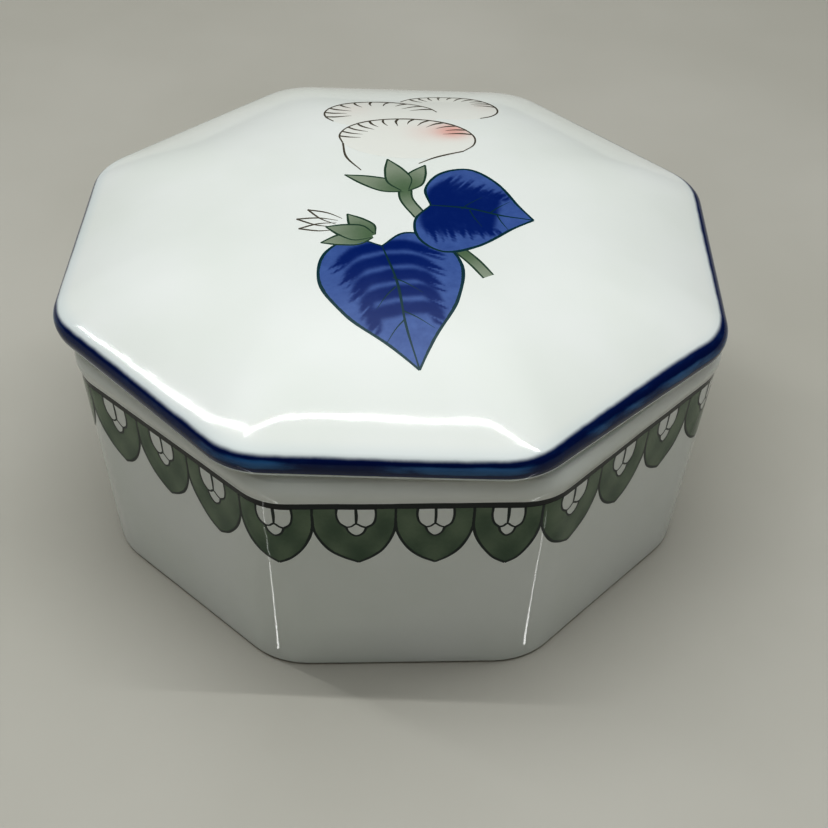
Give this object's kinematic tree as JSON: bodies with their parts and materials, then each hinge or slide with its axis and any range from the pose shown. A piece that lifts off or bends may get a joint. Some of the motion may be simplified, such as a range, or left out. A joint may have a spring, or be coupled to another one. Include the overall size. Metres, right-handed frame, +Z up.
{
  "type": "trinket box",
  "caption": "Octagonal glazed porcelain trinket box: a tapering tub and a loose domed lid that lifts off.",
  "frame": {"origin": "middle of the foot, on the surface that the box stands on", "axes": "+Z up, -Y towards the front flat side, X across the box to the right"},
  "size_m": [0.1016, 0.1016, 0.054],
  "materials": {
    "tub_glaze": "glossy clear glaze over white porcelain, painted band under the rim",
    "lid_glaze": "glossy clear glaze over white porcelain, painted spray and blue edge"
  },
  "bodies": {
    "base": {"base": "tub_glaze"},
    "lid": {"lid": "lid_glaze"}
  },
  "joints": [
    {"name": "lid_lift", "type": "slide", "parent": "base", "child": "lid", "axis": [0, 0, 1], "range_m": [0, 0.06]}
  ]
}
